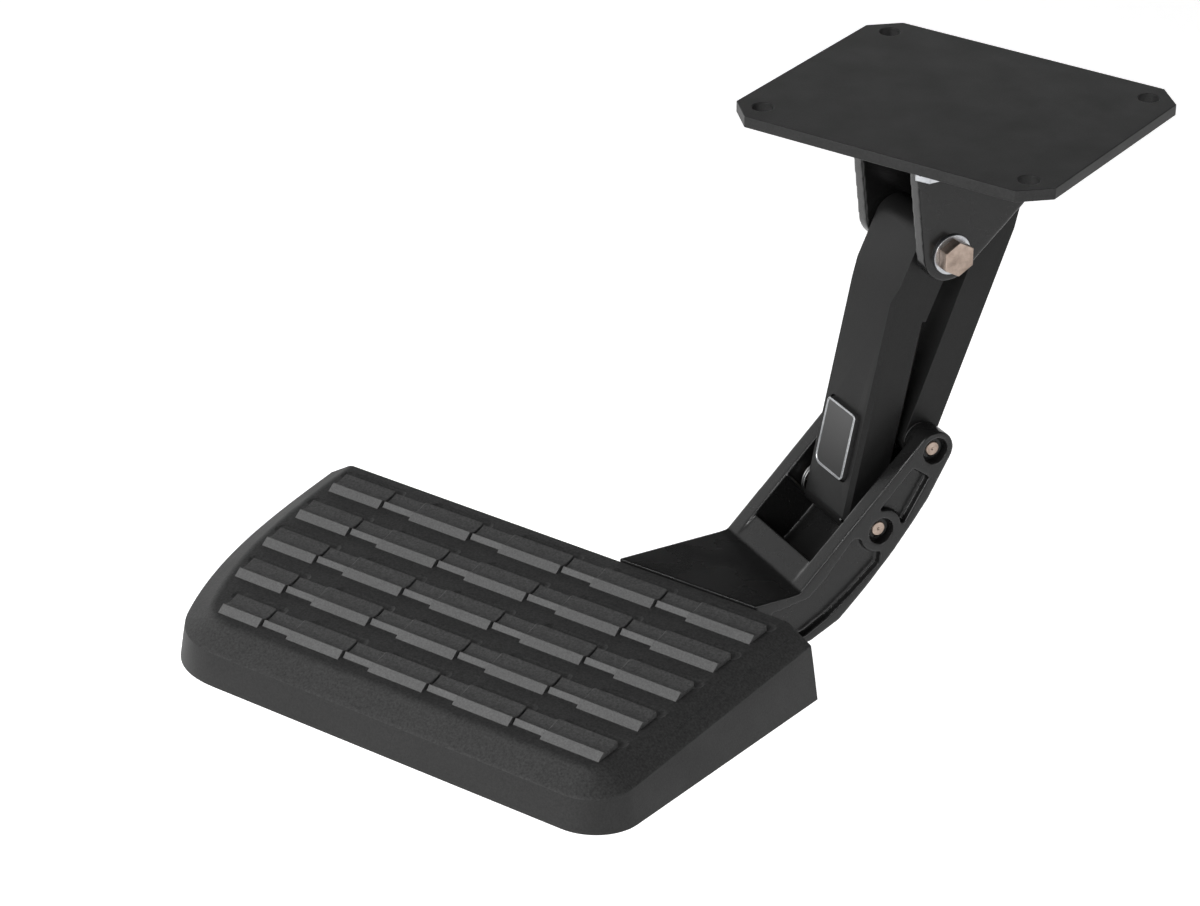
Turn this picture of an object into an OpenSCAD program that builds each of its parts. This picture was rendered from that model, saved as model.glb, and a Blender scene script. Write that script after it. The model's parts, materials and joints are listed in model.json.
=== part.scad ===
// Swing-down tailgate step: a frame-mounted hanger, two parallel links, a yoke and a moulded tread pad.
// +Z is up, +Y is towards the truck, +X is along the tailgate. Units are millimetres.
// The origin is the centre of the frame bolt pattern, on the top face of the mount plate.

/* [Arm plane] */
// Angle between the arm's swing plane and the truck's centre plane
arm_angle = 26.5; // [20:0.5:32]
// Drop from the mount face to the tread floor
tread_drop = 235.3; // [225:0.1:245]
// Distance along the arm from the mount centre back to the pad's datum
tread_reach = 151.2; // [145:0.1:158]
// Sideways distance from the arm's centre line to the pad's datum
tread_side = 65.35; // [60:0.05:70]

/* [Linkage] */
// Distance between the two pivots of either link
link_length = 150; // [145:1:155]
// Lower main pivot, forward of the pad's datum
main_pivot_t = 93.6; // [90:0.1:97]
// Lower main pivot, above the tread floor
main_pivot_z = 25.1; // [24:0.1:27]
// Lower rear pivot, forward of the lower main pivot
pivot_gap_t = 30.6; // [29:0.1:32]
// Lower rear pivot, above the lower main pivot
pivot_gap_z = 38.5; // [37:0.1:40]
// Lean of the main link's body from vertical
main_lean = 11.5; // [10:0.5:13]
// Lean of the rear link's body from vertical
rear_lean = 21.3; // [20:0.1:22.5]
// How far each upper pivot stands off its link's body line, as an angle at the lower pivot
pivot_offset_angle = 3; // [2.5:0.1:3.5]
// Diameter of the four pivot pins
pin_d = 10; // [10:0.5:11]

/* [Main link] */
// Width of the main link's extrusion
main_w = 40.6; // [38:0.1:41]
// Distance from the pivot line to the front face
main_front = 11.7; // [11:0.1:12]
// Distance from the pivot line to the rear face
main_back = 10.8; // [10:0.1:11]
// Corner chamfer of the extrusion
main_chamfer = 2.2; // [1:0.1:3]
// Height of the flat front face above the lower pivot
main_face_h = 118; // [112:1:122]

/* [Rear link] */
// Width of the rear link
rear_w = 42.4; // [40:0.1:43]
// Half the depth of the rear link
rear_half = 9.4; // [8.5:0.1:9.8]

/* [Yoke] */
// Width over the yoke's two webs
yoke_w = 75; // [72:0.5:78]
// Thickness of each web
web_t = 9.7; // [9:0.1:10.5]
// Radius of the boss round the lower rear pivot
rear_boss_r = 10.5; // [10:0.1:11.5]
// Thickness of that boss
rear_boss_t = 14.3; // [13:0.1:14.4]
// Height of the rising flange's foot above the tread floor
bend_z = 2; // [1.5:0.1:2.4]

/* [Tread pad] */
// Length of the pad at its crease
pad_w = 308; // [300:1:315]
// Depth of the pad from its square cut end to the outer crease
pad_d = 178.8; // [175:0.1:183]
// Drop from the rim to the crease
bevel_drop = 9; // [7:0.5:10]
// Depth of the skirt at the outer edge
skirt_low = 26; // [24:0.5:28]
// Depth of the skirt at the square cut end
skirt_high = 39; // [36:0.5:41]
// Distance between tread rows
row_pitch = 32.2; // [31:0.1:33]
// Height of the tread rows
row_h = 3.6; // [3:0.1:4]
// Thickness of the pad's skin
skin_t = 4.5; // [3.5:0.1:4.5]

/* [Hanger] */
// Frame bolt spacing along the tailgate
bolt_x = 150; // [150:1:156]
// Frame bolt spacing towards the truck
bolt_y = 120; // [120:1:126]
// Clearance hole for the frame bolts
frame_hole_d = 11; // [10.5:0.5:12]
// Thickness of the mount plate
plate_t = 6; // [5:0.5:6]
// Thickness of each cheek
cheek_t = 9; // [8:0.5:10]
// Radius of the clearance round the open rear pivot's pin
open_pivot_r = 7.6; // [7.4:0.1:7.8]

/* [Hidden] */
$fn = 64;

arm_black = [0.10, 0.10, 0.105];
cast_black = [0.13, 0.13, 0.14];
pad_black = [0.17, 0.17, 0.175];
zinc = [0.78, 0.62, 0.45];
steel = [0.55, 0.56, 0.58];

// Pivots in the arm plane, [forward, up] from the pad's datum
main_low = [main_pivot_t, main_pivot_z];
rear_low = main_low + [pivot_gap_t, pivot_gap_z];
main_dir = main_lean + pivot_offset_angle;
rear_dir = rear_lean - pivot_offset_angle;
main_up = main_low + link_length * [sin(main_dir), cos(main_dir)];
rear_up = rear_low + link_length * [sin(rear_dir), cos(rear_dir)];
mount_z = tread_drop;
hanger_top = mount_z - plate_t;

pin_r = pin_d / 2;
run_gap = 0.05;
bush_r = 7;
bush_flange = 1;
base_t = 6;
cheek_in = 22.7;
cheek_out = cheek_in + cheek_t;
web_in = yoke_w / 2 - web_t;
pocket_depth = 4.2;
bore_depth = 5;
support_t = 3;
tongue_top = -skin_t - support_t;
tongue_t = 6;
tongue_back = -108;
pad_far = 29.6;
pad_right = 18;
pad_left = pad_right - pad_w;
pad_near = pad_far - pad_d;
deck_gap = 0.4;
row_back = 15.9;
row_peak = 4.7;
rows = 5;

// Places children drawn in the arm frame: X sideways, Y forward, Z up from the pad's datum
module arm_frame() {
    rotate([0, 0, -arm_angle]) translate([0, -tread_reach, -tread_drop]) children();
}

// Places children drawn in the pad's own frame, which is square to the truck
module pad_frame() {
    rotate([0, 0, -arm_angle]) translate([tread_side, -tread_reach, -tread_drop])
        rotate([0, 0, arm_angle]) children();
}

// Extrudes a [forward, up] side profile between two sideways stations
module side(a, b) {
    translate([a, 0, 0]) rotate([90, 0, 90]) linear_extrude(b - a) children();
}

// A cylinder across the arm plane
module cross_rod(p, r, a, b) {
    translate([a, p[0], p[1]]) rotate([0, 90, 0]) cylinder(r = r, h = b - a);
}

// A ring across the arm plane
module cross_ring(p, r_out, r_in, a, b) {
    translate([a, p[0], p[1]]) rotate([0, 90, 0]) difference() {
        cylinder(r = r_out, h = b - a);
        translate([0, 0, -1]) cylinder(r = r_in, h = b - a + 2);
    }
}

module both_sides() {
    children();
    mirror([1, 0, 0]) children();
}

// Places children in a link's own side view: X across the link, Y up along it, from its lower pivot
module along(pivot, lean) {
    translate(pivot) rotate(-lean) children();
}

// Point where a line from p touches a circle, on the left (s = 1) or right (s = -1) seen from the circle
function touch(p, c, r, s) =
    let (d = norm(p - c), base = atan2(p[1] - c[1], p[0] - c[0]), a = base + s * acos(r / d))
    c + r * [cos(a), sin(a)];

// ---- hanger: fixed to the truck ----

module mount_plate() {
    half_x = bolt_x / 2 + 15;
    half_y = bolt_y / 2 + 15;
    corner = 14;
    color(cast_black) difference() {
        translate([0, 0, -plate_t]) linear_extrude(plate_t) polygon([
            [-half_x + corner, -half_y], [half_x - corner, -half_y], [half_x, -half_y + corner],
            [half_x, half_y - corner], [half_x - corner, half_y], [-half_x + corner, half_y],
            [-half_x, half_y - corner], [-half_x, -half_y + corner]]);
        for (x = [-1, 1], y = [-1, 1]) translate([x * bolt_x / 2, y * bolt_y / 2, -plate_t - 1])
            cylinder(d = frame_hole_d, h = plate_t + 2);
        hanger_bolt_places() translate([0, 0, -1]) cylinder(r = 4.05, h = plate_t);
    }
}

base_half_s = 46;
base_back = 101;
base_front = 202;
// Repeats children at the four bolts that hold the hanger to the mount plate, from the plate's underside
module hanger_bolt_places() {
    for (s = [-38.5, 38.5], t = [base_back + 10, base_front - 10])
        arm_frame() translate([s, t, hanger_top]) children();
}

module cheek_profile() {
    low_left = touch([base_back + 8, hanger_top - base_t], main_up, 15, 1);
    low_right = touch([base_front - 3, hanger_top - base_t], rear_up, 15, -1);
    polygon([[base_back + 8, hanger_top - base_t + 1], low_left, main_up,
        main_up + 15 * [sin(48), -cos(48)], rear_up + 15 * [sin(48), -cos(48)], low_right,
        [base_front - 3, hanger_top - base_t + 1]]);
    translate(main_up) circle(15);
    translate(rear_up) circle(15);
}

module hanger() {
    color(cast_black) difference() {
        arm_frame() difference() {
            union() {
                translate([-base_half_s, base_back, hanger_top - base_t])
                    cube([2 * base_half_s, base_front - base_back, base_t]);
                both_sides() side(cheek_in, cheek_out) cheek_profile();
            }
            cross_rod(main_up, pin_r + run_gap, -60, 60);
            cross_rod(rear_up, pin_r + run_gap, -60, 60);
        }
        hanger_bolt_places() translate([0, 0, -base_t - 1]) cylinder(r = 4.3, h = base_t + 2);
    }
}

module hanger_bolts() {
    color(steel) hanger_bolt_places() {
        translate([0, 0, -base_t - 5]) rotate(30) cylinder(d = 14.8, h = 5, $fn = 6);
        translate([0, 0, -base_t - 0.5]) cylinder(r = 4, h = base_t + 5);
    }
}

washer_t = 1.5;
nut_t = 8;
// A hex-headed pivot bolt through both cheeks
module pivot_bolt(p) {
    reach = cheek_out + washer_t;
    color(zinc) arm_frame() {
        cross_rod(p, pin_r, -reach - nut_t - 2, reach + 0.5);
        translate([reach, p[0], p[1]]) rotate([0, 90, 0]) cylinder(d = 18.5, h = 6.5, $fn = 6);
    }
}

module upper_main_pin() pivot_bolt(main_up);
module upper_rear_pin() pivot_bolt(rear_up);

module upper_pin_nuts() {
    reach = cheek_out + washer_t;
    color(steel) arm_frame() for (p = [main_up, rear_up])
        translate([-reach - nut_t, p[0], p[1]]) rotate([0, 90, 0]) difference() {
            cylinder(d = 18.5, h = nut_t, $fn = 6);
            translate([0, 0, -1]) cylinder(r = pin_r + run_gap, h = nut_t + 2);
        }
}

module upper_pin_washers() {
    color(steel) arm_frame() for (p = [main_up, rear_up]) both_sides()
        cross_ring(p, 10.5, pin_r + run_gap, cheek_out, cheek_out + washer_t);
}

// Thin washers that ride on the upper rear pin between cheek and link
module cheek_thrust_washers() {
    color(pad_black) arm_frame() both_sides()
        cross_ring(rear_up, 11, pin_r + run_gap, cheek_in - 1, cheek_in);
}

module stow_stop() {
    stop_t = 198;
    stop_h = 14;
    color(pad_black) arm_frame()
        translate([0, stop_t, hanger_top - base_t - stop_h]) cylinder(r = 8, h = stop_h);
}

// ---- main link ----

main_knuckle_r = 12;
main_eye = link_length * [sin(pivot_offset_angle), cos(pivot_offset_angle)];

main_low_r = (main_front + main_back) / 2;
main_break = main_face_h - 10;
module main_profile() {
    polygon([[-main_front, 0], [-main_front, main_face_h],
        touch([-main_front, main_face_h], main_eye, main_knuckle_r, -1), main_eye,
        touch([main_back, main_break], main_eye, main_knuckle_r, 1), [main_back, main_break],
        [main_back, 0]]);
}

// Cuts one long corner of the extrusion at 45 degrees, up to a height
module main_corner(x, top) {
    side_l = main_chamfer * sqrt(2);
    translate([main_w / 2, 0, 0]) along_3d(main_low, main_lean) translate([0, x, (top - 30) / 2])
        rotate([0, 0, 45]) cube([side_l, side_l, top + 30], center = true);
}

// Places children along a link in the arm frame: Z up along it, Y forward across it
module along_3d(pivot, lean) {
    translate([0, pivot[0], pivot[1]]) rotate([-lean, 0, 0]) children();
}

bush_in = 15;
// A pin bore right through a link, with a wider seat for a bushing at each end
module bushing_seats(p) {
    cross_rod(p, pin_r + 2 * run_gap, -30, 30);
    both_sides() cross_rod(p, bush_r + run_gap, bush_in - 0.2, 30);
}

module main_link() {
    color(arm_black) arm_frame() difference() {
        union() {
            side(-main_w / 2, main_w / 2) along(main_low, main_lean) main_profile();
            side(-main_w / 2, main_w / 2) along(main_low, main_lean)
                translate([main_back - main_low_r, 0]) circle(main_low_r);
            cross_rod(main_up, main_knuckle_r, -main_w / 2, main_w / 2);
        }
        both_sides() {
            main_corner(-main_front, main_face_h + 12);
            main_corner(main_back, main_break);
        }
        bushing_seats(main_low);
        bushing_seats(main_up);
        badge_slab(badge_gap, -1, 1.6);
    }
}

badge_low = 17;
badge_high = 54;
badge_half = 13.4;
badge_gap = 1.2;
// Rounded four-sided outline of the badge, on the main link's front face
module badge_outline(grow) {
    r = 3 + grow;
    w = badge_half - 3;
    for (x = [-w, w], y = [badge_low + 3, badge_high - 3]) translate([x, y]) circle(r);
    translate([-w - r, badge_low + 3]) square([2 * (w + r), badge_high - badge_low - 6]);
    translate([-w, badge_low + 3 - r]) square([2 * w, badge_high - badge_low - 6 + 2 * r]);
}

// The badge's outline cut into the front face, from depth a to depth b
module badge_slab(grow, a, b) {
    along_3d(main_low, main_lean) translate([0, -main_front + b, 0]) rotate([90, 0, 0])
        linear_extrude(b - a) badge_outline(grow);
}

module badge_backing() {
    color(pad_black) arm_frame() badge_slab(0.2, 1, 1.6);
}

module badge_plate() {
    color(steel) arm_frame() badge_slab(-0.1, -1, 1);
}

// A pair of flanged bushings in a link's side walls
module bushing_pair(p, half_w) {
    color(pad_black) arm_frame() both_sides() {
        cross_ring(p, bush_r, pin_r + run_gap, bush_in, half_w);
        cross_ring(p, 9, pin_r + run_gap, half_w, half_w + bush_flange);
    }
}

module upper_main_bushings() bushing_pair(main_up, main_w / 2);
module lower_main_bushings() bushing_pair(main_low, main_w / 2);
module lower_rear_bushings() bushing_pair(rear_low, rear_w / 2);

// Rubber pad on the back of the main link, which the rear link closes on when the step is down
module deploy_stop() {
    stop_low = 54;
    color(pad_black) arm_frame() side(-10, 10) along(main_low, main_lean)
        polygon([[main_back, stop_low], [main_back + 1.7, stop_low], [main_back + 3.4, stop_low + 12],
            [main_back, stop_low + 12]]);
}

// ---- rear link ----

rear_eye_r = 12.8;
rear_eye = link_length * [-sin(pivot_offset_angle), cos(pivot_offset_angle)];

module rear_profile() {
    brk = 118;
    polygon([[-rear_half, 0], [-rear_half, brk], touch([-rear_half, brk], rear_eye, rear_eye_r, -1),
        rear_eye, touch([rear_half, brk], rear_eye, rear_eye_r, 1), [rear_half, brk], [rear_half, 0]]);
}

module rear_link() {
    color(arm_black) arm_frame() difference() {
        union() {
            side(-rear_w / 2, rear_w / 2) along(rear_low, rear_lean) rear_profile();
            cross_rod(rear_low, rear_half, -rear_w / 2, rear_w / 2);
            cross_rod(rear_up, rear_eye_r, -rear_w / 2, rear_w / 2);
        }
        bushing_seats(rear_low);
        cross_rod(rear_up, open_pivot_r, -30, 30);
    }
}

module rear_thrust_washers() {
    color(pad_black) arm_frame() both_sides()
        cross_ring(rear_low, 9, pin_r + run_gap, rear_w / 2 + bush_flange, yoke_w / 2 - rear_boss_t);
}

// ---- yoke ----

bend_t = 46.5;
deck_top = 1.4;
flange_end = [58, 12];
rise = atan2(flange_end[1] - bend_z, flange_end[0] - bend_t);

// Side view of one web, from under the pad up to the rear boss
module web_profile() {
    polygon([[tongue_back, tongue_top], [tongue_back, tongue_top - tongue_t], [-96, -21], [-60, -29],
        [0, -31.5], [36, -31.5], [54, -28.5], [70.4, -20.5], [86, -5.5], [101.3, 11.1], [112, 24.5],
        [120.8, 36.3], touch([122.5, 39], rear_low, rear_boss_r, 1), rear_low,
        touch([bend_t, bend_z], rear_low, rear_boss_r, -1), [bend_t, bend_z], [42, deck_top],
        [tongue_back, deck_top]]);
    translate(rear_low) circle(rear_boss_r);
}

deck_t = tongue_t - tongue_top;
// Deck and rising flange between the webs
module between_webs() {
    polygon([[tongue_back, deck_top], [42, deck_top], [bend_t, bend_z], flange_end, flange_end + [4.2, -4.4],
        [52, -deck_t + 4], [44, -deck_t], [tongue_back, -deck_t]]);
}

knuckle_room = 12.2;
// Floor that closes the yoke below the main link's foot and wraps round its knuckle
module floor_profile() {
    top = 1 - deck_t;
    difference() {
        polygon([[38, top], [44, top], [50, top + 1], [62, -17], [78, -4.6], [88, 4.4], [96, 12.4],
            [106.2, 25.6], [112.3, 33.6], [118.2, 42], [126, 54], [130.4, 55.4], [121.7, 39.6],
            [115.5, 31.2], [101.1, 11.6], [85.6, -5], [70, -20], [54, -27.9], [38, -27.9]]);
        translate(main_low) circle(knuckle_room);
        translate(rear_low) circle(rear_half + 1.2);
    }
}

main_boss_r = 11.9;
// The two pockets in a web's outer face stop short of the round boss at the lower main pivot
module web_pockets() {
    difference() {
        union() {
            polygon([[92.5, 37.8], [111.5, 56.6], [121.3, 49.2], [107.6, 26.8], [98, 26]]);
            polygon([[77.3, 24.4], [86, 22], [94, 15], [92.8, 6.2], [77.2, -7], [63.8, -16.8],
                [50.5, -24], [30, -27], [30, -6], [52, -3], [61, 5.5]]);
        }
        translate(main_low) circle(main_boss_r);
    }
}

module yoke() {
    color(cast_black) difference() {
        arm_frame() difference() {
            union() {
                both_sides() side(web_in, yoke_w / 2) web_profile();
                both_sides() cross_rod(rear_low, rear_boss_r, yoke_w / 2 - rear_boss_t, yoke_w / 2);
                side(-web_in, web_in) between_webs();
                side(-web_in, web_in) floor_profile();
            }
            cross_rod(main_low, pin_r + run_gap, -60, 60);
            cross_rod(rear_low, pin_r + run_gap, -60, 60);
            both_sides() for (p = [main_low, rear_low])
                cross_rod(p, 7, yoke_w / 2 - bore_depth, yoke_w / 2 + 1);
            both_sides() side(yoke_w / 2 - pocket_depth, yoke_w / 2 + 1) web_pockets();
            tongue_bolt_places() translate([0, 0, tongue_top - tongue_t - 1])
                cylinder(r = 4.3, h = tongue_t + 2);
        }
        pad_frame() translate([pad_left - 50, pad_near - 50, tongue_top])
            cube([pad_w + 200, pad_d + 50 + deck_gap, 40]);
    }
}

nose_r = 3.25;
nose_depth = 3.2;
// A pivot pin whose slim nose shows in each counterbore
module stepped_pin(p) {
    color(zinc) arm_frame() {
        cross_rod(p, pin_r, -yoke_w / 2 + bore_depth + 1, yoke_w / 2 - bore_depth - 1);
        cross_rod(p, nose_r, -yoke_w / 2 + nose_depth, yoke_w / 2 - nose_depth);
    }
}
module lower_main_pin() stepped_pin(main_low);
module lower_rear_pin() stepped_pin(rear_low);

module pin_retaining_rings() {
    color(arm_black) arm_frame() for (p = [main_low, rear_low]) both_sides()
        cross_ring(p, 5.6, nose_r + run_gap, yoke_w / 2 - bore_depth, yoke_w / 2 - bore_depth + 1.2);
}

// Closely wound torsion spring round the lower main pin, with a leg up the link and one along the web
module torsion_spring() {
    coil_r = 10.6;
    wire = 2.2;
    a = main_w / 2 + bush_flange + 0.3;
    b = web_in - 0.3;
    leg_r = coil_r - wire / 2 - 0.1;
    color(steel) arm_frame() {
        cross_ring(main_low, coil_r, coil_r - wire, a, b);
        translate([a + wire / 2 + 0.1, 0, 0]) along_3d(main_low, main_lean)
            translate([0, leg_r, 0]) cylinder(d = wire - 0.4, h = 30, $fn = 24);
        translate([b - wire / 2 - 0.1, main_low[0], main_low[1]]) rotate([135, 0, 0])
            translate([0, -leg_r, 0]) cylinder(d = wire - 0.4, h = 16, $fn = 24);
    }
}
module torsion_spring_right() torsion_spring();
module torsion_spring_left() {
    color(steel) rotate([0, 0, -arm_angle]) mirror([1, 0, 0]) rotate([0, 0, arm_angle]) torsion_spring();
}

// ---- tread pad ----

// Outline of the pad, grown sideways by g: square at the truck end, bowed on the outer end
module pad_outline(g, near_g) {
    r_near = 23;
    bow = [[pad_left, pad_far], [-284, -37], [-280.5, -56.5], [-275, -80], [-266.5, -104], [-256, -124],
        [-247, -137], [-238, -145.5], [-228, pad_near]];
    near_y = pad_near - near_g;
    polygon(concat([for (p = bow) [p[0] - g, p[1] - (p[1] < -50 ? near_g * (-50 - p[1]) / 99 : 0)]],
        [for (a = [270:10:360]) [pad_right + g - r_near + r_near * cos(a),
            near_y + r_near + r_near * sin(a)]],
        [[pad_right + g, pad_far]]));
}

module pad_slab(g, near_g, z) {
    translate([0, 0, z]) linear_extrude(0.1) pad_outline(g, near_g);
}

// The pad's outer form, or with a shrink its inner hollow
module pad_form(shrink, top) {
    draft = 5;
    deep = skirt_high + 2;
    hull() {
        pad_slab(-19 - shrink / 2, -19 - shrink / 2, top);
        pad_slab(-shrink, -shrink, -bevel_drop);
        pad_slab(draft - shrink, draft - shrink, -deep);
    }
}

// Everything below the skirt's sloping lower edge
module below_skirt() {
    slope = (skirt_high - skirt_low) / pad_d;
    translate([pad_left - 20, pad_near - 12, -skirt_low - 60 + 12 * slope])
        rotate([-atan(slope), 0, 0]) cube([pad_w + 40, pad_d + 60, 60]);
}

module tread_row(i) {
    left = [-234.4, -250.8, -259.7, -264.1, -267.8];
    y = -i * row_pitch;
    translate([left[rows - 1 - i], y, -0.3]) rotate([90, 0, 90]) linear_extrude(-left[rows - 1 - i])
        polygon([[0, 0], [row_peak, row_h], [row_peak + 5, row_h - 1], [row_back, row_h + 0.3],
            [row_back, 0]]);
}

// Stiffening ribs under the skin, outside the support plate
module under_ribs() {
    rib = 2.4;
    for (x = [-262, -236, -2, 8]) translate([x, pad_near, -16]) cube([rib, pad_d, 12]);
    for (y = [-141, -128]) translate([pad_left, y, -16]) cube([pad_w, rib, 12]);
}

module tread_pad() {
    wall = 4;
    color(pad_black) pad_frame() difference() {
        union() {
            difference() {
                pad_form(0, -0.1);
                pad_form(wall, -skin_t - 0.1);
                below_skirt();
            }
            difference() {
                intersection() {
                    under_ribs();
                    pad_form(1, -1);
                }
                support_room(-60, -skin_t);
            }
            for (i = [0:rows - 1]) tread_row(i);
        }
        for (p = pad_screw_places()) translate([p[0], p[1], -skin_t - 1]) cylinder(r = 2.1, h = 7);
    }
}

// Room for the support plate, as a block between two heights
module support_room(a, b) {
    translate([support_left - 1, support_near - 1, a])
        cube([support_right - support_left + 2, support_far - support_near + 4, b - a]);
}

function pad_screw_places() = [[-12, 10], [-12, -86.6], [-225, 10], [-225, -86.6], [-165, -22], [-165, -86.6]];

module tongue_bolt_places() {
    for (s = [-18, 18], t = [-25, -85]) translate([s, t, 0]) children();
}

support_left = -232;
support_right = -4;
support_near = -123;
support_far = 29;
// The support plate's outline, with its two near corners cut off to clear the pad's bevel
module support_outline() {
    cut = 20;
    polygon([[support_left, support_near + cut], [support_left + cut, support_near],
        [support_right - cut, support_near], [support_right, support_near + cut],
        [support_right, support_far], [support_left, support_far]]);
}

module pad_support_plate() {
    color(steel) difference() {
        pad_frame() difference() {
            translate([0, 0, tongue_top]) linear_extrude(support_t) support_outline();
            for (p = pad_screw_places()) translate([p[0], p[1], tongue_top - 1])
                cylinder(r = 2.7, h = support_t + 2);
        }
        arm_frame() tongue_bolt_places() {
            translate([0, 0, tongue_top]) cylinder(r1 = 4.6, r2 = 8.1, h = support_t + 0.01);
        }
    }
}

module tongue_bolts() {
    tail = 20;
    color(zinc) arm_frame() tongue_bolt_places() {
        translate([0, 0, tongue_top]) cylinder(r1 = 4, r2 = 7.5, h = 2.8);
        translate([0, 0, tongue_top + 0.5 - tail]) cylinder(r = 4, h = tail);
    }
}

module tongue_nuts() {
    color(steel) arm_frame() tongue_bolt_places() translate([0, 0, tongue_top - tongue_t - 6.5]) difference() {
        cylinder(d = 14.5, h = 6.5, $fn = 6);
        translate([0, 0, -1]) cylinder(r = 4.05, h = 9);
    }
}

module pad_screws() {
    color(steel) pad_frame() for (p = pad_screw_places()) translate([p[0], p[1], tongue_top - 3]) {
        cylinder(r = 5, h = 3);
        cylinder(r = 2, h = 11);
    }
}

mount_plate();
hanger();
hanger_bolts();
upper_main_pin();
upper_rear_pin();
upper_pin_nuts();
upper_pin_washers();
cheek_thrust_washers();
stow_stop();
main_link();
badge_plate();
badge_backing();
upper_main_bushings();
lower_main_bushings();
deploy_stop();
rear_link();
lower_rear_bushings();
rear_thrust_washers();
yoke();
lower_main_pin();
lower_rear_pin();
pin_retaining_rings();
torsion_spring_left();
torsion_spring_right();
pad_support_plate();
tongue_bolts();
tongue_nuts();
pad_screws();
tread_pad();
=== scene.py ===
import json
import math

import bmesh
import bpy
from mathutils import Matrix, Vector


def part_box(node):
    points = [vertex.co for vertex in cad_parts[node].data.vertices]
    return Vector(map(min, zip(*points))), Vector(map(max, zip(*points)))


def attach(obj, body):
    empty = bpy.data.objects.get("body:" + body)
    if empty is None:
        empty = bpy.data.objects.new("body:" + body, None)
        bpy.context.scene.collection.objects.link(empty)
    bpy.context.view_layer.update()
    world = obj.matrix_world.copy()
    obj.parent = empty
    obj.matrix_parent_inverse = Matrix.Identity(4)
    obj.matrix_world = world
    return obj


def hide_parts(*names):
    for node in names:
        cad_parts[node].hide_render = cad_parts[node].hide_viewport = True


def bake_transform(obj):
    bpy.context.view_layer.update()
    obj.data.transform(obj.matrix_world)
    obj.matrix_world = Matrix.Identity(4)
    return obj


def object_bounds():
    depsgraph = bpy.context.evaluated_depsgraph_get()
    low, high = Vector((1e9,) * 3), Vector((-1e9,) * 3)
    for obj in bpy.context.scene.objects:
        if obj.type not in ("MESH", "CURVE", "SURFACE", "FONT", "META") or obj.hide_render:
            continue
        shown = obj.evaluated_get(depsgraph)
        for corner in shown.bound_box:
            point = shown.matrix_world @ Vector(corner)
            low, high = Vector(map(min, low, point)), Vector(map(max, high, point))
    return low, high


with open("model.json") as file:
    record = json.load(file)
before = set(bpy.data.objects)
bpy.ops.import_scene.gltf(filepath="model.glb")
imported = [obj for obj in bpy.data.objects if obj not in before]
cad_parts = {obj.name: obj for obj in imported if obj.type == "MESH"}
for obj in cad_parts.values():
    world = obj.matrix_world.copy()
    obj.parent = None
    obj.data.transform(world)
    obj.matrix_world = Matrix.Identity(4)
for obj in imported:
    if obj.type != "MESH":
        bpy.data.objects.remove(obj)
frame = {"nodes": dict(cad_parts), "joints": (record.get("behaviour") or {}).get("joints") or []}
cad_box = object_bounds()

# Lengths below are millimetres in a local frame, unless a comment says metres.
MM = 0.001
JOINTS = {j["name"]: j for j in frame["joints"]}
UP = Vector((0, 0, 1))
ACROSS = Vector(JOINTS["main_hinge"]["axis"]).normalized()
FORWARD = UP.cross(ACROSS)
RIGHT = Vector((1, 0, 0))
AWAY = Vector((0, 1, 0))

# The support plate's top far right corner, seen from the pad's own datum
PLATE_CORNER = Vector((-4, 29, -4.5))
PAD_SIDE = 65.35
MAIN_LEAN = math.radians(11.5)


def place(origin, x, y, z):
    """A matrix from local millimetres to the row frame in metres."""
    m = Matrix.Identity(4)
    for i, axis in enumerate((x, y, z)):
        m.col[i] = (*(axis * MM), 0)
    m.col[3] = (*origin, 1)
    return m


def along_link(pivot, lean):
    """The frame of a link: Z up along it, Y forward across it, from its lower pivot."""
    up = FORWARD * math.sin(lean) + UP * math.cos(lean)
    across = FORWARD * math.cos(lean) - UP * math.sin(lean)
    return place(pivot, ACROSS, across, up)


pad_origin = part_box("pad_support_plate")[1] - PLATE_CORNER * MM
PAD = place(pad_origin, RIGHT, AWAY, UP)
ARM = place(pad_origin - ACROSS * PAD_SIDE * MM, ACROSS, FORWARD, UP)
ROW = Matrix.Scale(MM, 4)
MAIN_LOW = Vector(JOINTS["step_hinge"]["pos_m"])
MAIN = along_link(MAIN_LOW, MAIN_LEAN)

# ---------------------------------------------------------------- materials


def node_tree(name):
    mat = bpy.data.materials.new(name)
    mat.use_nodes = True
    tree = mat.node_tree
    shader = tree.nodes["Principled BSDF"]
    where = tree.nodes.new("ShaderNodeTexCoord")
    return mat, tree, shader, where


def noise(tree, where, scale, detail=3.0, roughness=0.5):
    """Noise in the object's own metres, so its grain has a real size."""
    n = tree.nodes.new("ShaderNodeTexNoise")
    n.inputs["Scale"].default_value = scale
    n.inputs["Detail"].default_value = detail
    n.inputs["Roughness"].default_value = roughness
    tree.links.new(where.outputs["Object"], n.inputs["Vector"])
    return n.outputs["Fac"]


def ramp(tree, fac, stops):
    """A ramp whose stops are (position, colour or grey)."""
    r = tree.nodes.new("ShaderNodeValToRGB")
    elements = r.color_ramp.elements
    while len(elements) < len(stops):
        elements.new(0.5)
    for element, (position, value) in zip(elements, stops):
        element.position = position
        grey = isinstance(value, (int, float))
        element.color = (value, value, value, 1) if grey else (*value, 1)
    tree.links.new(fac, r.inputs["Fac"])
    return r.outputs["Color"]


def bump(tree, shader, height, strength, distance):
    """Bump with its height in metres."""
    b = tree.nodes.new("ShaderNodeBump")
    b.inputs["Strength"].default_value = strength
    b.inputs["Distance"].default_value = distance
    tree.links.new(height, b.inputs["Height"])
    tree.links.new(b.outputs["Normal"], shader.inputs["Normal"])


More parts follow.
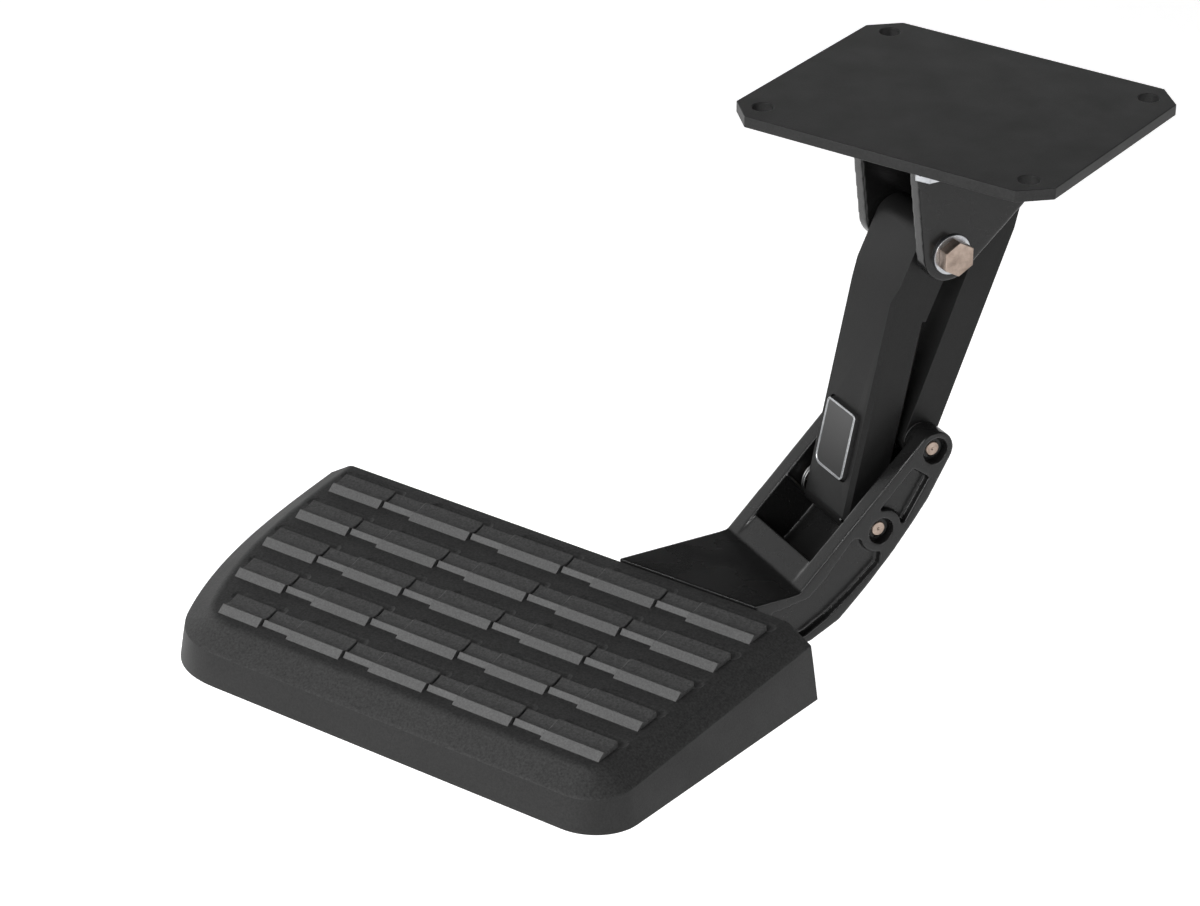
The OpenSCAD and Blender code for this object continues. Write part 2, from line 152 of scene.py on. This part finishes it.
def grained(name, dark, light, rough, grain, depth, metallic=0.0, specular=0.5):
    """A surface with fine speckle in its colour, roughness and relief. grain is per metre."""
    mat, tree, shader, where = node_tree(name)
    shader.inputs["Metallic"].default_value = metallic
    shader.inputs["Specular IOR Level"].default_value = specular
    fine = noise(tree, where, grain, 4.0, 0.65)
    broad = noise(tree, where, grain / 30, 3.0, 0.5)
    colour = ramp(tree, fine, [(0.3, dark), (0.72, light)])
    tree.links.new(colour, shader.inputs["Base Color"])
    gloss = ramp(tree, broad, [(0.3, rough - 0.05), (0.7, rough + 0.05)])
    tree.links.new(gloss, shader.inputs["Roughness"])
    bump(tree, shader, fine, 0.6, depth)
    return mat


def brushed(name, dark, light, rough):
    """Plated metal with faint turning marks and small stains."""
    mat, tree, shader, where = node_tree(name)
    shader.inputs["Metallic"].default_value = 1.0
    marks = noise(tree, where, 2600, 2.0, 0.6)
    stains = noise(tree, where, 160, 3.0, 0.6)
    colour = ramp(tree, stains, [(0.3, dark), (0.7, light)])
    tree.links.new(colour, shader.inputs["Base Color"])
    gloss = ramp(tree, marks, [(0.3, rough - 0.08), (0.7, rough + 0.1)])
    tree.links.new(gloss, shader.inputs["Roughness"])
    bump(tree, shader, marks, 0.35, 0.00003)
    return mat


def badge_face_material():
    """Dark glossy face with a painted sheen: its colour runs from charcoal at its top to near black."""
    mat, tree, shader, where = node_tree("badge_face")
    shader.inputs["Roughness"].default_value = 0.3
    shader.inputs["Specular IOR Level"].default_value = 0.2
    split = tree.nodes.new("ShaderNodeSeparateXYZ")
    tree.links.new(where.outputs["Generated"], split.inputs["Vector"])
    # painted sheen: the base colour is lighter towards the top of the face, standing in for a sheen from
    # the lamps
    painted_sheen = ramp(tree, split.outputs["Z"], [(0.1, 0.012), (0.95, 0.05)])
    tree.links.new(painted_sheen, shader.inputs["Base Color"])
    bump(tree, shader, noise(tree, where, 900), 0.08, 0.00002)
    return mat


def floor_material():
    mat, tree, shader, where = node_tree("floor_paint")
    shader.inputs["Roughness"].default_value = 0.9
    shader.inputs["Specular IOR Level"].default_value = 0.1
    shader.inputs["Emission Color"].default_value = (1, 1, 1, 1)
    shader.inputs["Emission Strength"].default_value = 0.62
    tone = ramp(tree, noise(tree, where, 3), [(0.0, 0.90), (1.0, 0.93)])
    tree.links.new(tone, shader.inputs["Base Color"])
    return mat


MATERIALS = {
    "pad_plastic": grained("pad_grain", 0.008, 0.032, 0.62, 800, 0.00016, specular=0.3),
    # painted light: the block tops are a lighter copy of the pad plastic, standing in for light on the
    # raised tops
    "pad_tops_painted_light": grained("pad_block_tops_painted_light", 0.020, 0.056, 0.60, 800, 0.00014, specular=0.3),
    # smoother finish on the skirt, with a darker colour that is painted shade on the wall and the hollow
    # below
    "pad_skirt_painted_shade": grained("pad_smooth_skirt_painted_shade", 0.006, 0.016, 0.55, 1000, 0.00008, specular=0.25),
    # painted light: a lighter copy of the pad plastic on the block fronts, standing in for the light
    # they catch from the near side
    "pad_lit_faces_painted": grained("pad_fronts_painted_light", 0.048, 0.088, 0.55, 1000, 0.00008, specular=0.4),
    "cast_black": grained("cast_coat", 0.004, 0.008, 0.27, 1300, 0.00004, specular=0.3),
    "extrusion_black": grained("extrusion_coat", 0.006, 0.011, 0.38, 1700, 0.00003, specular=0.16),
    "steel_black": grained("plate_coat", 0.010, 0.020, 0.42, 1100, 0.00005, specular=0.2),
    "polymer": grained("bearing_polymer", 0.020, 0.034, 0.55, 1700, 0.00004),
    "rubber": grained("stop_rubber", 0.012, 0.024, 0.75, 900, 0.00008, specular=0.3),
    "spring_steel": grained("oiled_spring", 0.10, 0.22, 0.30, 2200, 0.00002, metallic=1.0),
    "zinc_yellow": brushed("yellow_zinc", (0.22, 0.17, 0.14), (0.40, 0.32, 0.27), 0.34),
    "zinc_steel": brushed("clear_zinc", (0.36, 0.37, 0.39), (0.56, 0.57, 0.58), 0.32),
    "badge": badge_face_material(),
    "badge_rim": brushed("badge_rim_metal", (0.30, 0.31, 0.32), (0.44, 0.45, 0.46), 0.25),
}

# ---------------------------------------------------------------- mesh tools


def new_object(name, bm):
    bmesh.ops.recalc_face_normals(bm, faces=bm.faces)
    mesh = bpy.data.meshes.new(name)
    bm.to_mesh(mesh)
    bm.free()
    obj = bpy.data.objects.new(name, mesh)
    bpy.context.scene.collection.objects.link(obj)
    return obj


def apply_modifiers(obj):
    """Puts the result of the modifiers into the mesh."""
    bpy.context.view_layer.update()
    evaluated = obj.evaluated_get(bpy.context.evaluated_depsgraph_get())
    mesh = bpy.data.meshes.new_from_object(evaluated)
    obj.modifiers.clear()
    obj.data = mesh
    return obj


def boolean(obj, tool, operation):
    """Cuts or joins another object, which is used up."""
    m = obj.modifiers.new("boolean", "BOOLEAN")
    m.operation = operation
    m.solver = "EXACT"
    m.object = tool
    apply_modifiers(obj)
    bpy.data.objects.remove(tool)
    return obj


def round_edges(obj, width, segments=3, angle=28):
    """Rounds the edges that are sharper than an angle."""
    m = obj.modifiers.new("bevel", "BEVEL")
    m.width = width
    m.segments = segments
    m.limit_method = "ANGLE"
    m.angle_limit = math.radians(angle)
    m.miter_outer = "MITER_ARC"
    return apply_modifiers(obj)


def shade(obj, angle=38):
    """Smooth shading that keeps flat faces flat."""
    for polygon in obj.data.polygons:
        polygon.use_smooth = True
    obj.data.set_sharp_from_angle(angle=math.radians(angle))
    m = obj.modifiers.new("weighted", "WEIGHTED_NORMAL")
    m.keep_sharp = True
    return apply_modifiers(obj)


def settle(obj, where, body, slot, *nodes, angle=38):
    """Places a finished piece, gives it its material and ties it to its CAD body."""
    obj.data.materials.clear()
    obj.data.materials.append(MATERIALS[slot])
    shade(obj, angle)
    obj.data.transform(where)
    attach(obj, body)
    if nodes:
        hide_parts(*nodes)
    return obj


def loft(bm, rings, caps=True):
    """Skins closed rings that have the same number of points."""
    made = [[bm.verts.new(p) for p in ring] for ring in rings]
    count = len(made[0])
    for a, b in zip(made, made[1:]):
        for i in range(count):
            j = (i + 1) % count
            bm.faces.new((a[i], a[j], b[j], b[i]))
    if caps:
        bm.faces.new(list(reversed(made[0])))
        bm.faces.new(made[-1])
    return made


def circle(radius, count):
    return [(radius * math.cos(2 * math.pi * i / count), radius * math.sin(2 * math.pi * i / count))
            for i in range(count)]


def rod(name, radius, centre, start, end, count=64):
    """A plain cutter along X, at a (y, z) centre."""
    bm = bmesh.new()
    loft(bm, [[(x, centre[0] + a, centre[1] + b) for a, b in circle(radius, count)]
              for x in (start, end)])
    return new_object(name, bm)


def cad_copy(node, name):
    """A CAD node's shape as a new mesh in millimetres, with its flat faces made whole again."""
    bm = bmesh.new()
    bm.from_mesh(frame["nodes"][node].data)
    bmesh.ops.scale(bm, vec=(1 / MM,) * 3, verts=bm.verts)
    bmesh.ops.remove_doubles(bm, verts=bm.verts, dist=0.004)
    bmesh.ops.dissolve_limit(bm, angle_limit=math.radians(0.6), verts=bm.verts, edges=bm.edges)
    return new_object(name, bm)


def reworked(node, body, slot, width, segments=3):
    """A machined or stamped CAD node with its edges broken."""
    obj = cad_copy(node, node + "_finished")
    round_edges(obj, width, segments)
    return settle(obj, ROW, body, slot, node)


# ---------------------------------------------------------------- tread pad

PAD_FAR = 29.6
PAD_NEAR = -149.2
PAD_LEFT = -290.3
PAD_RIGHT = 18.0
CORNER_RIGHT = 23.0
CREASE = -9.0
SKIRT_NEAR = -26.5
SKIRT_FAR = -39.0
DRAFT = math.tan(math.radians(9))
# The pad's top and bevel, from the flat top outwards and down, as (inset, height)
BEVEL = ((16.5, 0.0), (15.2, -0.1), (13.8, -0.5), (12.2, -1.35), (1.9, -7.9), (0.8, -8.55), (0.1, -9.25))
SKIRT_SHARES = (0.35, 0.7, 1.0)
SKIN = 4.5
WALL = 4.0
INNER_INSET = WALL + 1.2
INNER_TOP = CREASE - 4
CEILING_INSET = 15
LEFT_SAMPLES = 28
LEFT_SHARE = 0.86
ROW_PITCH = 32.2
ROW_COUNT = 5
SLIT = 0.95
NARROW_SHARE = 0.34
# For each row, nearest first: where its first slit and its left end are
FIRST_SLIT = (-208.4, -220.1, -226.3, -230.2, -234.0)
ROW_LEFT = (-234.4, -250.8, -259.7, -264.1, -267.8)
SLIT_SHARES = (1, 0.752, 0.503, 0.253)
# A block's side view as (front, peak, peak height, back, back height), wide and narrow
WIDE = (0.0, 4.7, 3.35, 15.9, 3.6)
NARROW = (2.9, 5.5, 2.75, 15.3, 3.0)
BLOCK_ROOT = -1.6
BACK_SLOPE = 0.5
SCOOP = 1.45
SCOOP_SKEW = 0.6
SCOOP_STEPS = 8
STEP_HALF = 0.25
TRENCH_CENTRE = 19.5
TRENCH_RADIUS = 11
TRENCH_DEPTH = 1.25
TRENCH_STEPS = 14
RIB_TOP = -4
RIB_EDGE = -15
RIB_ROOT_HALF = 1.2
RIB_EDGE_HALF = 0.8
# (x, near end) of each rib that runs away from the near side, and (y, left end) of each one across
RIBS_ALONG = ((-261, -60), (-235, -125), (-1, -125), (9, -110))
RIBS_ACROSS = ((-128, -238), (-138, -228))
RIBS_RIGHT = 2


def pad_outline():
    """The crease in plan, from the far left round the near side to the far right, as (point, normal)."""
    depth = PAD_FAR - PAD_NEAR
    points = []
    for i in range(LEFT_SAMPLES + 1):
        u = LEFT_SHARE * i / LEFT_SAMPLES
        points.append(Vector((PAD_LEFT + 13.8 * u + 31.8 * u ** 3, PAD_FAR - depth * u)))
    start = points[-1]
    heading = (points[-1] - points[-2]).normalized()
    corner = start + heading * ((PAD_NEAR - start.y) / heading.y)
    end = Vector((corner.x + (corner - start).length, PAD_NEAR))
    for i in range(1, 15):
        k = i / 14
        points.append(start * (1 - k) ** 2 + corner * 2 * k * (1 - k) + end * k * k)
    run = PAD_RIGHT - CORNER_RIGHT - end.x
    points += [Vector((end.x + run * k / 24, PAD_NEAR)) for k in range(1, 25)]
    centre = Vector((PAD_RIGHT - CORNER_RIGHT, PAD_NEAR + CORNER_RIGHT))
    for i in range(1, 17):
        a = math.radians(-90 + 90 * i / 16)
        points.append(centre + Vector((math.cos(a), math.sin(a))) * CORNER_RIGHT)
    points += [Vector((PAD_RIGHT, centre.y + (PAD_FAR - centre.y) * k / 16)) for k in range(1, 17)]
    normals = []
    for i, p in enumerate(points):
        d = points[min(i + 1, len(points) - 1)] - points[max(i - 1, 0)]
        normals.append(Vector((d.y, -d.x)).normalized())
    normals[0] = Vector((-1, 0))
    normals[-1] = Vector((1, 0))
    return list(zip(points, normals))


def skirt_bottom(y):
    """Height of the skirt's lower edge, which slopes down towards the truck."""
    return SKIRT_NEAR + (SKIRT_FAR - SKIRT_NEAR) * (y - PAD_NEAR) / (PAD_FAR - PAD_NEAR)


def pad_shell():
    """Top, bevel, drafted wall, lip and the hollow below, square cut at the far end."""
    outline = pad_outline()
    rings = [[Vector((*(p - n * inset), z)) for p, n in outline] for inset, z in BEVEL]
    for share in SKIRT_SHARES:
        ring = []
        for p, n in outline:
            z = CREASE + (skirt_bottom(p.y) - CREASE) * share
            ring.append(Vector((*(p + n * (CREASE - z) * DRAFT), z)))
        rings.append(ring)
    lip = rings[-1]
    rings.append([v - Vector((*(n * WALL), 0)) for v, (p, n) in zip(lip, outline)])
    rings.append([Vector((*(p - n * INNER_INSET), INNER_TOP)) for p, n in outline])
    rings.append([Vector((*(p - n * CEILING_INSET), -SKIN)) for p, n in outline])
    for ring in rings:
        ring[0].y = PAD_FAR
        ring[-1].y = PAD_FAR
    bm = bmesh.new()
    made = [[bm.verts.new(v) for v in ring] for ring in rings]
    for a, b in zip(made, made[1:]):
        for i in range(len(outline) - 1):
            bm.faces.new((a[i], a[i + 1], b[i + 1], b[i]))
    bm.faces.new(made[0])
    bm.faces.new(list(reversed(made[-1])))
    bm.faces.new([r[-1] for r in made] + [r[0] for r in reversed(made)])
    return new_object("tread_pad_moulded", bm)


def block_profile(y, wide):
    """A tread block's side view as (y, z): lit front slope, peak, scooped top and steep back."""
    front, peak, high, back, top = WIDE if wide else NARROW
    points = [(y + front, BLOCK_ROOT), (y + front, 0.0), (y + peak, high)]
    for i in range(1, SCOOP_STEPS + 1):
        k = i / SCOOP_STEPS
        sag = SCOOP * math.sin(math.pi * k ** SCOOP_SKEW)
        points.append((y + peak + (back - peak) * k, high + (top - high) * k - sag))
    points.append((y + back + BACK_SLOPE, BLOCK_ROOT))
    return points


def tread_block(bm, left, right, y, stepped):
    """One block. A stepped one starts narrow and low, then widens."""
    stations = [(left, not stepped), (right, True)]
    if stepped:
        step = left + (right - left) * NARROW_SHARE
        stations[1:1] = [(step - STEP_HALF, False), (step + STEP_HALF, True)]
    loft(bm, [[(x, a, b) for a, b in block_profile(y, wide)] for x, wide in stations])


def row_spans():
    """Each block as (left, right, y, stepped), row by row."""
    spans = []
    for i in range(ROW_COUNT):
        y = -(ROW_COUNT - 1 - i) * ROW_PITCH
        slits = [FIRST_SLIT[i] * share for share in SLIT_SHARES] + [SLIT / 2]
        spans.append((ROW_LEFT[i], slits[0] - SLIT / 2, y, False))
        spans += [(a + SLIT / 2, b - SLIT / 2, y, True) for a, b in zip(slits, slits[1:])]
    return spans


def tread_blocks():
    bm = bmesh.new()
    for left, right, y, stepped in row_spans():
        tread_block(bm, left, right, y, stepped)
    return round_edges(new_object("tread_blocks", bm), 0.3, 2, 30)


def trench(bm, left, right, y, radius, depth):
    """A shallow groove with scooped ends: the foot of a long round-ended bar sunk into the floor."""
    rings = []
    steps = TRENCH_STEPS
    for i in range(2 * steps):
        end = left if i < steps else right
        a = math.pi * (i + 0.5) / steps / 2
        reach = radius * math.sin(a)
        x = end - radius * math.cos(a)
        rings.append([(x, y + reach * c, radius - depth + reach * s) for c, s in circle(1, 48)])
    loft(bm, rings)


def trenches():
    """A shallow groove behind the wide part of each block, ending in an arc just past its slit."""
    bm = bmesh.new()
    for left, right, y, stepped in row_spans():
        start = left + (right - left) * NARROW_SHARE + 5 if stepped else left - 1
        trench(bm, start, right - 2, y + TRENCH_CENTRE, TRENCH_RADIUS, TRENCH_DEPTH)
    return new_object("trenches", bm)


def ribs_along():
    """Stiffening ribs under the skin, thinner towards their free edge."""
    bm = bmesh.new()
    a, b = RIB_ROOT_HALF, RIB_EDGE_HALF
    for x, near in RIBS_ALONG:
        loft(bm, [[(x - a, y, RIB_TOP), (x + a, y, RIB_TOP), (x + b, y, RIB_EDGE), (x - b, y, RIB_EDGE)]
                  for y in (near, PAD_FAR - 1)])
    return new_object("ribs_along", bm)


def ribs_across():
    """Two ribs along the pad's near side, made apart from the others so that no tool crosses itself."""
    bm = bmesh.new()
    a, b = RIB_ROOT_HALF, RIB_EDGE_HALF
    for y, left in RIBS_ACROSS:
        loft(bm, [[(x, y - a, RIB_TOP), (x, y + a, RIB_TOP), (x, y + b, RIB_EDGE), (x, y - b, RIB_EDGE)]
                  for x in (left, RIBS_RIGHT)])
    return new_object("ribs_across", bm)


def tread_pad():
    """The whole moulding, all of one plastic. Its block fronts and block tops get lighter copies of it
    as painted light, and its skirt a smoother copy whose darker colour is painted shade.
    """
    pad = pad_shell()
    boolean(pad, trenches(), "DIFFERENCE")
    round_edges(pad, 0.5, 2, 40)
    boolean(pad, tread_blocks(), "UNION")
    boolean(pad, ribs_along(), "UNION")
    boolean(pad, ribs_across(), "UNION")
    settle(pad, PAD, "step", "pad_plastic", "tread_pad", angle=32)
    pad.data.materials.append(MATERIALS["pad_lit_faces_painted"])
    pad.data.materials.append(MATERIALS["pad_skirt_painted_shade"])
    pad.data.materials.append(MATERIALS["pad_tops_painted_light"])
    for p in pad.data.polygons:
        height = (p.center.z - pad_origin.z) / MM
        # painted light: block faces turned to the near side get the lighter front colour, the other
        # block faces the lighter top colour
        if height > 0.3:
            p.material_index = 1 if p.normal.y < -0.45 else 3
        # painted shade: below the crease the skirt gets the darker colour
        elif height < CREASE - 0.2:
            p.material_index = 2
    return pad


# ---------------------------------------------------------------- yoke

PIVOT_MAIN = (93.6, 25.1)
PIVOT_REAR = (124.2, 63.6)
YOKE_HALF = 37.5
BORE_R = 7.0
BORE_DEPTH = 5.0


def to_arm(obj):
    """Moves a mesh in row millimetres to the arm's frame."""
    obj.data.transform((ARM.inverted() @ ROW))
    return obj


def cast_copy(node, name, voxel, passes):
    """A CAD node as a casting: edges and inner corners melt into fillets."""
    obj = to_arm(cad_copy(node, name))
    m = obj.modifiers.new("remesh", "REMESH")
    m.mode = "VOXEL"
    m.voxel_size = voxel
    m.adaptivity = 0.0
    s = obj.modifiers.new("smooth", "SMOOTH")
    s.factor = 0.5
    s.iterations = passes
    return apply_modifiers(obj)


def thin_out(obj, share):
    """Merges small faces until a share of them is left."""
    m = obj.modifiers.new("decimate", "DECIMATE")
    m.decimate_type = "COLLAPSE"
    m.ratio = share
    return apply_modifiers(obj)


def yoke():
    obj = cast_copy("yoke", "yoke_cast", 0.65, 7)
    thin_out(obj, 0.4)
    for pivot in (PIVOT_MAIN, PIVOT_REAR):
        for side in (-1, 1):
            a, b = sorted((side * (YOKE_HALF - BORE_DEPTH), side * (YOKE_HALF + 2)))
            boolean(obj, rod("counterbore", BORE_R + 0.1, pivot, a, b), "DIFFERENCE")
    return settle(obj, ARM, "step", "cast_black", "yoke", angle=50)


def hanger():
    obj = cast_copy("hanger", "hanger_cast", 1.0, 5)
    thin_out(obj, 0.45)
    return settle(obj, ARM, "hanger", "cast_black", "hanger", angle=50)


# ---------------------------------------------------------------- badge

BADGE_LOW = 17.0
BADGE_HIGH = 54.0
BADGE_HALF = 13.2
MAIN_FRONT = -11.7


# The badge's section as (inset, height in front of the link's face), from its back to its face
BADGE_SECTION = ((0, -1.0), (0, 1.9), (0.2, 2.25), (0.4, 2.35), (0.7, 2.35), (0.9, 2.15), (1.4, 2.12))


def badge_ring(inset, depth):
    """The badge's outline, rounder at its lower left, at a depth in front of the link's face."""
    w = BADGE_HALF - inset
    low, high = BADGE_LOW + inset, BADGE_HIGH - inset
    corners = ((w, high, 2.6, 0), (-w, high, 2.6, 90), (-w, low, 5.5, 180), (w, low, 2.6, 270))
    points = []
    for x, z, radius, start in corners:
        r = max(radius - inset, 0.5)
        cx, cz = x - math.copysign(r, x), z - (r if z == high else -r)
        for i in range(9):
            a = math.radians(start + 90 * i / 8)
            points.append((cx + r * math.cos(a), MAIN_FRONT - depth, cz + r * math.sin(a)))
    return points


def badge():
    """A thick blank plate: black sides, a bright rim and a slightly sunk dark face."""
    bm = bmesh.new()
    loft(bm, [badge_ring(inset, depth) for inset, depth in BADGE_SECTION])
    obj = new_object("badge_blank", bm)
    settle(obj, MAIN, "main_link", "badge", "badge_plate")
    obj.data.materials.append(MATERIALS["badge_rim"])
    obj.data.materials.append(MATERIALS["rubber"])
    round_count = len(badge_ring(0, 0))
    for p in obj.data.polygons:
        if p.index < round_count:
            p.material_index = 2
        elif p.index < (len(BADGE_SECTION) - 1) * round_count:
            p.material_index = 1
    return obj


# ---------------------------------------------------------------- pins, rings and springs


SHAFT_R = 5
NOSE_R = 3.9
NOSE_SUNK = 3.2
# A retaining ring's section as (height, radius)
RING_SECTION = ((0, 4.0), (0, 5.4), (0.2, 5.6), (0.9, 5.6), (1.1, 5.4), (1.1, 4.0))
SPRING_X = (21.6, 27.5)
SPRING_R = 10.6
SPRING_ROOM = 2.2
SPRING_TURNS = 2.37
SPRING_STEPS = 76
WIRE_R = 0.76


def turned(bm, centre, sections, count=48):
    """A turned shape round X at a (y, z) centre, from its (x, radius) sections."""
    loft(bm, [[(x, centre[0] + a, centre[1] + b) for a, b in circle(r, count)] for x, r in sections])


def pin_end(sign):
    """Half of a stepped pin, from its middle to a chamfered nose with a shallow centre mark."""
    shoulder = YOKE_HALF - BORE_DEPTH - 1
    nose = YOKE_HALF - NOSE_SUNK
    full, slim, groove = SHAFT_R, NOSE_R, NOSE_R - 0.5
    half = [(0, full), (shoulder - 0.5, full), (shoulder, full - 0.5), (shoulder, slim),
            (nose - 2.2, slim), (nose - 2.1, groove), (nose - 1.2, groove), (nose - 1.1, slim),
            (nose - 0.4, slim), (nose, slim - 0.4), (nose, 0.9), (nose - 0.5, 0.2)]
    return [(sign * x, r) for x, r in half]


def stepped_pin(node, pivot):
    bm = bmesh.new()
    turned(bm, pivot, list(reversed(pin_end(-1)))[:-1] + pin_end(1)[1:])
    obj = new_object(node + "_turned", bm)
    return settle(obj, ARM, "step", "zinc_yellow", node, angle=30)


def retaining_rings():
    """Open spring rings in the grooves of the four pin noses."""
    bm = bmesh.new()
    x0 = YOKE_HALF - BORE_DEPTH + 0.05
    for y, z in (PIVOT_MAIN, PIVOT_REAR):
        for sign in (-1, 1):
            rings = []
            for i in range(41):
                a = math.radians(-60 + 300 * i / 40)
                c, s = math.cos(a), math.sin(a)
                rings.append([(sign * (x0 + h), y + r * c, z + r * s) for h, r in RING_SECTION])
            loft(bm, rings)
    return settle(new_object("pin_rings_open", bm), ARM, "step", "steel_black", "pin_retaining_rings")


def tube(bm, path, radius, count=14):
    """A round wire along a path, with rounded ends."""
    rings = []
    side = Vector((1, 0, 0))
    for i, p in enumerate(path):
        d = (path[min(i + 1, len(path) - 1)] - path[max(i - 1, 0)]).normalized()
        side = (side - d * side.dot(d)).normalized()
        other = d.cross(side)
        r = radius * (0.6 if i in (0, len(path) - 1) else 1)
        rings.append([p + (side * a + other * b) * r for a, b in circle(1, count)])
    loft(bm, rings)


def spring_path():
    """From the leg up the link, round the coil, to the leg along the web, in the arm frame."""
    y, z = PIVOT_MAIN
    wire = SPRING_ROOM
    mean = SPRING_R - wire / 2
    x0, x1 = SPRING_X[0] + wire / 2, SPRING_X[1] - wire / 2
    up = Vector((0, math.sin(MAIN_LEAN), math.cos(MAIN_LEAN)))
    out = Vector((0, math.cos(MAIN_LEAN), -math.sin(MAIN_LEAN)))
    centre = Vector((x0, y, z))
    leg = [centre + out * mean + up * h for h in (30, 29.6, 24, 16, 8, 3)]
    coil = []
    for i in range(SPRING_STEPS + 1):
        a = -2 * math.pi * SPRING_TURNS * i / SPRING_STEPS
        x = x0 + (x1 - x0) * i / SPRING_STEPS
        coil.append(Vector((x, y, z)) + (out * math.cos(a) + up * math.sin(a)) * mean)
    heading = (coil[-1] - coil[-2])
    heading.x = 0
    heading.normalize()
    tail = [coil[-1] + heading * h for h in (2, 6, 11, 15.6, 16)]
    return leg + coil + tail


def torsion_spring(node, side):
    bm = bmesh.new()
    tube(bm, [Vector((side * p.x, p.y, p.z)) for p in spring_path()], WIRE_R)
    obj = new_object(node + "_wound", bm)
    obj.data.materials.append(MATERIALS["spring_steel"])
    shade(obj)
    obj.data.transform(ARM)
    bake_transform(obj)
    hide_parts(node)
    return obj


# ---------------------------------------------------------------- the other pieces

EDGE_BREAKS = [
    ("mount_plate", "hanger", "steel_black", 0.6),
    ("hanger_bolts", "hanger", "zinc_steel", 0.45),
    ("upper_main_pin", "hanger", "zinc_yellow", 0.5),
    ("upper_rear_pin", "hanger", "zinc_yellow", 0.5),
    ("upper_pin_nuts", "hanger", "zinc_steel", 0.45),
    ("upper_pin_washers", "hanger", "zinc_steel", 0.2),
    ("cheek_thrust_washers", "hanger", "polymer", 0.15),
    ("stow_stop", "hanger", "rubber", 1.0),
    ("main_link", "main_link", "extrusion_black", 0.45),
    ("badge_backing", "main_link", "rubber", 0.1),
    ("upper_main_bushings", "main_link", "polymer", 0.2),
    ("lower_main_bushings", "main_link", "polymer", 0.2),
    ("deploy_stop", "main_link", "rubber", 0.4),
    ("rear_link", "rear_link", "extrusion_black", 0.8),
    ("lower_rear_bushings", "rear_link", "polymer", 0.2),
    ("rear_thrust_washers", "step", "polymer", 0.15),
    ("pad_support_plate", "step", "steel_black", 0.4),
    ("tongue_bolts", "step", "zinc_steel", 0.3),
    ("tongue_nuts", "step", "zinc_steel", 0.4),
    ("pad_screws", "step", "zinc_steel", 0.35),
]


def other_pieces():
    for node, body, slot, width in EDGE_BREAKS:
        reworked(node, body, slot, width)


# ---------------------------------------------------------------- studio

LOOK_AT = Vector((-0.0955, -0.1699, -0.1521))
VIEW_AZIMUTH = 35.36
VIEW_ELEVATION = 28.73
VIEW_DISTANCE = 1.8
LENS = 109.17
FLOOR_DROP = 0.42
# The floor's section in metres as (radius, height), from its middle out to its raised edge
FLOOR_SECTION = ((0.01, 0.0), (4, 0.0), (7, 0.0), (8, 0.12), (9, 0.6), (9.6, 1.6), (10, 4))


def direction(azimuth, elevation):
    """The unit vector from the object towards an azimuth and elevation in degrees."""
    a, e = math.radians(azimuth), math.radians(elevation)
    return Vector((math.sin(a) * math.cos(e), -math.cos(a) * math.cos(e), math.sin(e)))


def camera():
    data = bpy.data.cameras.new("camera")
    data.lens = LENS
    cam = bpy.data.objects.new("camera", data)
    bpy.context.scene.collection.objects.link(cam)
    back = direction(VIEW_AZIMUTH, VIEW_ELEVATION)
    cam.location = LOOK_AT + back * VIEW_DISTANCE
    cam.rotation_euler = (-back).to_track_quat("-Z", "Y").to_euler()
    bpy.context.scene.camera = cam


def softbox(name, azimuth, elevation, distance, size, power):
    data = bpy.data.lights.new(name, "AREA")
    data.shape = "RECTANGLE"
    data.size, data.size_y = size
    data.energy = power
    light = bpy.data.objects.new(name, data)
    bpy.context.scene.collection.objects.link(light)
    toward = direction(azimuth, elevation)
    light.location = LOOK_AT + toward * distance
    light.rotation_euler = (-toward).to_track_quat("-Z", "Y").to_euler()


def studio_floor():
    """A wide floor that curves up at its edges, below the step."""
    bm = bmesh.new()
    level = cad_box[0].z - FLOOR_DROP
    rings = [[(r * c, r * s, level + h) for c, s in circle(1, 48)] for r, h in FLOOR_SECTION]
    made = loft(bm, rings, caps=False)
    bm.faces.new(made[0])
    obj = new_object("studio_floor", bm)
    for p in obj.data.polygons:
        p.use_smooth = True
    obj.data.materials.append(floor_material())


def world_light(strength):
    world = bpy.data.worlds.new("studio")
    world.use_nodes = True
    background = world.node_tree.nodes["Background"]
    background.inputs["Color"].default_value = (1, 1, 1, 1)
    background.inputs["Strength"].default_value = strength
    bpy.context.scene.world = world


def studio():
    studio_floor()
    world_light(0.05)
    softbox("key", -5, 28, 2.4, (1.6, 1.1), 52)
    softbox("left", -95, 18, 2.2, (1.5, 1.2), 8)
    softbox("right", 80, 8, 2.2, (1.2, 1.0), 9)
    softbox("strip", -47, 48, 2.2, (0.5, 0.3), 12)
    softbox("glint", 22, 44, 2.2, (0.35, 0.35), 7)
    bpy.context.scene.view_settings.view_transform = "Standard"


# ---------------------------------------------------------------- build

camera()
studio()
tread_pad()
yoke()
hanger()
badge()
stepped_pin("lower_main_pin", PIVOT_MAIN)
stepped_pin("lower_rear_pin", PIVOT_REAR)
retaining_rings()
torsion_spring("torsion_spring_left", -1)
torsion_spring("torsion_spring_right", 1)
other_pieces()
